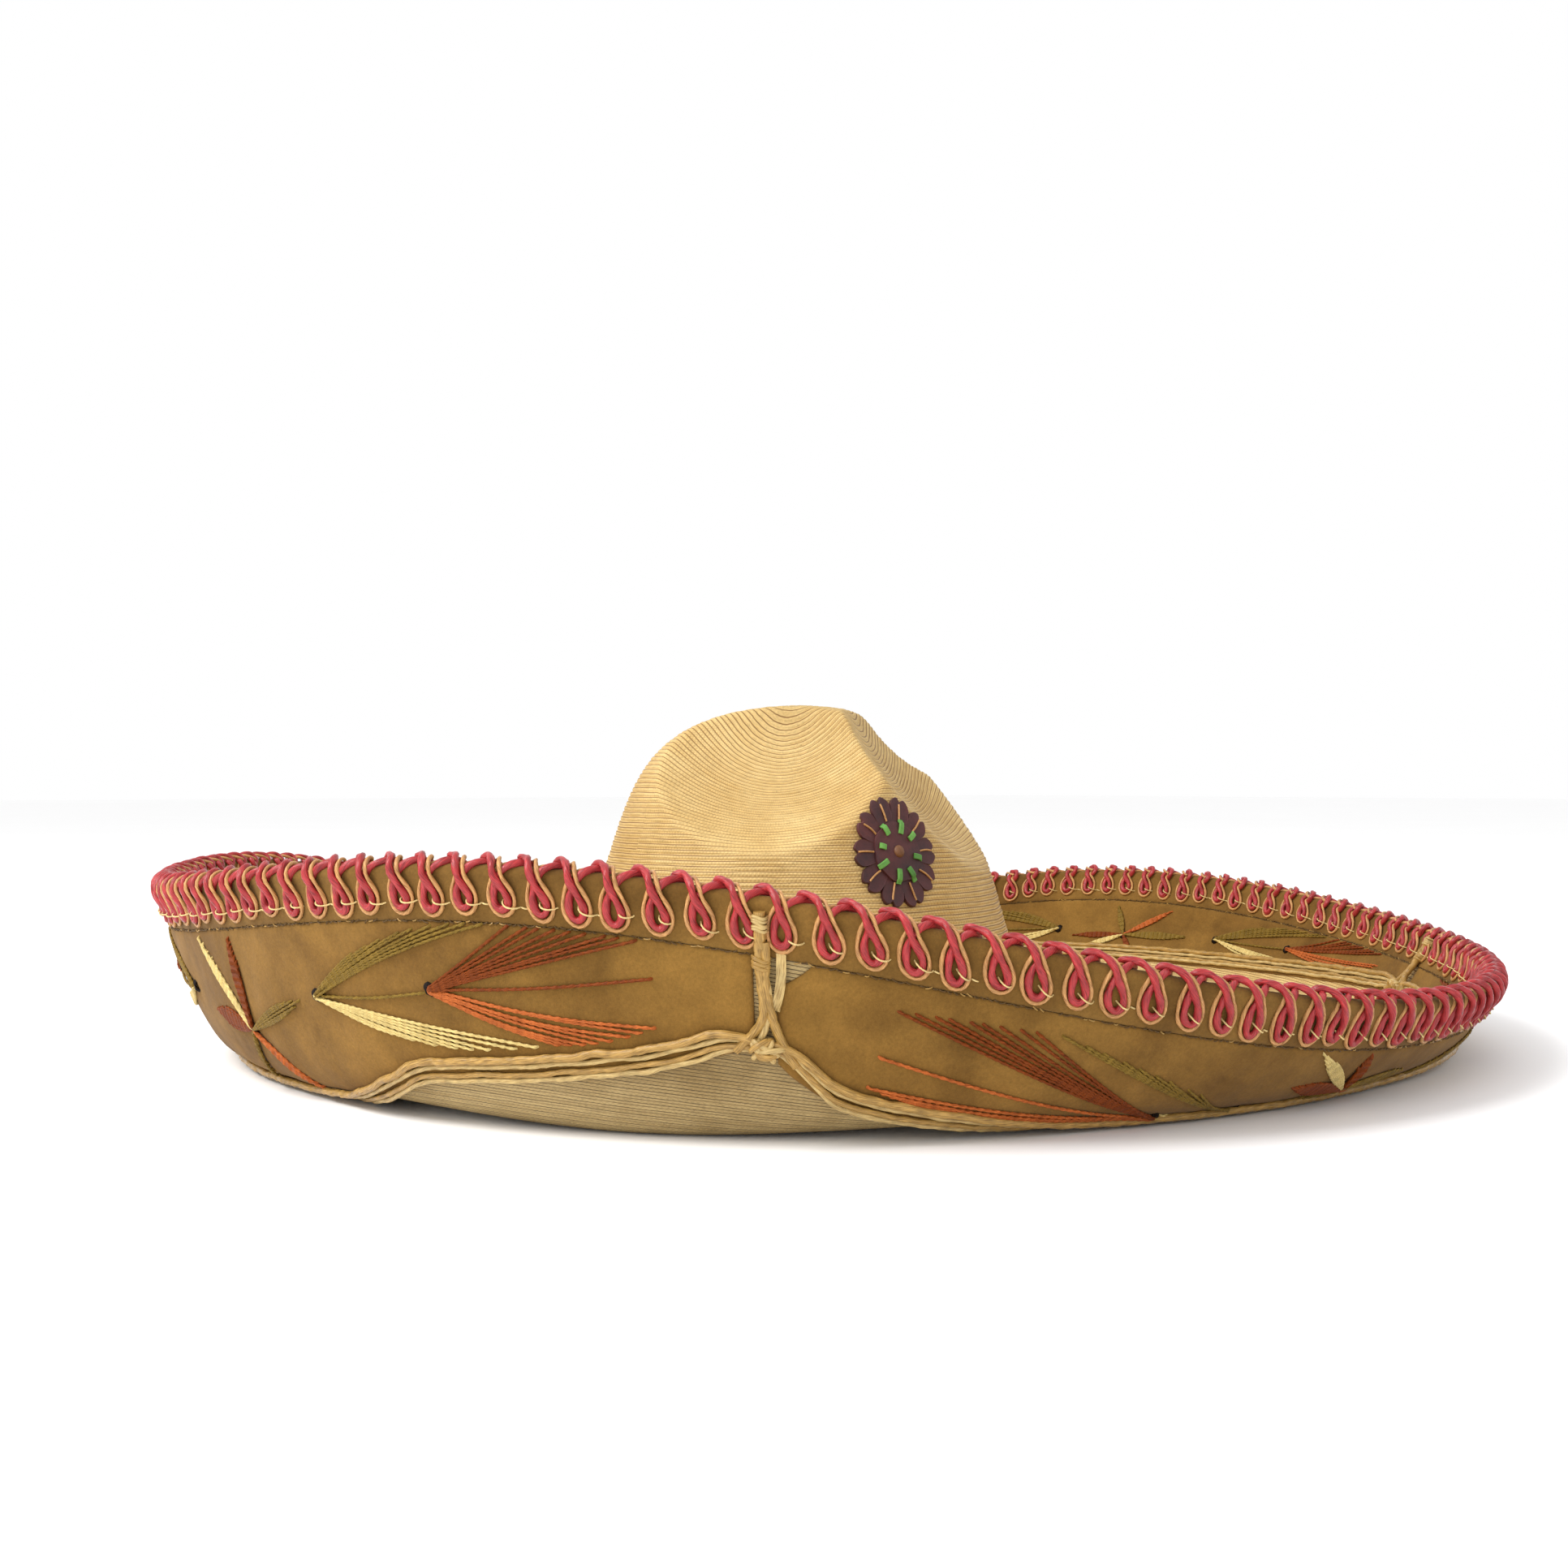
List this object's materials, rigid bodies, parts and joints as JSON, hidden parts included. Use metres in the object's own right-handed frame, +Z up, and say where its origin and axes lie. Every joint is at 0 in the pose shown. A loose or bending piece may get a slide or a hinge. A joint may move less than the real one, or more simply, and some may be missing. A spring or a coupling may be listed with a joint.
{
  "type": "sombrero",
  "caption": "Wide-brimmed palm-straw charro sombrero with a dented crown, an upturned brim faced with embroidered suede, and a cord-looped edge.",
  "frame": {"origin": "on the floor under the centre of the brim", "axes": "+Z up through the crown, -Y towards the front of the hat, +X towards the wearer's left"},
  "size_m": [0.5813, 0.582, 0.1487],
  "materials": {
    "straw": "hand-sewn palm braid, matt with a slight varnish",
    "suede": "tan suede, worn",
    "spring_wire": "drawn steel wire",
    "pink_cord": "satin pink cord",
    "tan_cord": "satin tan cord",
    "cream_thread": "cream sewing thread",
    "rosette_leather": "maroon-brown leather, satin",
    "green_leather": "green dyed lacing",
    "sweatband_leather": "smooth brown leather",
    "gold_cord": "twisted gold-coloured cord",
    "embroidery_thread": "rust, orange, olive and cream embroidery thread"
  },
  "bodies": {
    "root": {"brim_straw": "straw", "crown_straw": "straw", "edge_binding": "suede", "edge_wire": "spring_wire", "rim_loops_pink": "pink_cord", "rim_loops_tan": "tan_cord", "rim_tacks": "cream_thread", "rosette_left_disc": "rosette_leather", "rosette_left_flower": "rosette_leather", "rosette_left_lacing": "green_leather", "rosette_left_stitches": "tan_cord", "rosette_left_stud": "rosette_leather", "rosette_right_disc": "rosette_leather", "rosette_right_flower": "rosette_leather", "rosette_right_lacing": "green_leather", "rosette_right_stitches": "tan_cord", "rosette_right_stud": "rosette_leather", "sweatband": "sweatband_leather", "topside_cords_back": "gold_cord", "topside_cords_front": "gold_cord", "topside_cords_left": "gold_cord", "topside_cords_right": "gold_cord", "topside_corner_cords": "gold_cord", "topside_embroidery_back": "embroidery_thread", "topside_embroidery_front": "embroidery_thread", "topside_embroidery_left": "embroidery_thread", "topside_embroidery_right": "embroidery_thread", "topside_knots": "gold_cord", "topside_panel_back": "suede", "topside_panel_front": "suede", "topside_panel_left": "suede", "topside_panel_right": "suede", "underside_cords_back": "gold_cord", "underside_cords_front": "gold_cord", "underside_cords_left": "gold_cord", "underside_cords_right": "gold_cord", "underside_corner_cords": "gold_cord", "underside_embroidery_back": "embroidery_thread", "underside_embroidery_front": "embroidery_thread", "underside_embroidery_left": "embroidery_thread", "underside_embroidery_right": "embroidery_thread", "underside_knots": "gold_cord", "underside_panel_back": "suede", "underside_panel_front": "suede", "underside_panel_left": "suede", "underside_panel_right": "suede"}
  },
  "joints": []
}
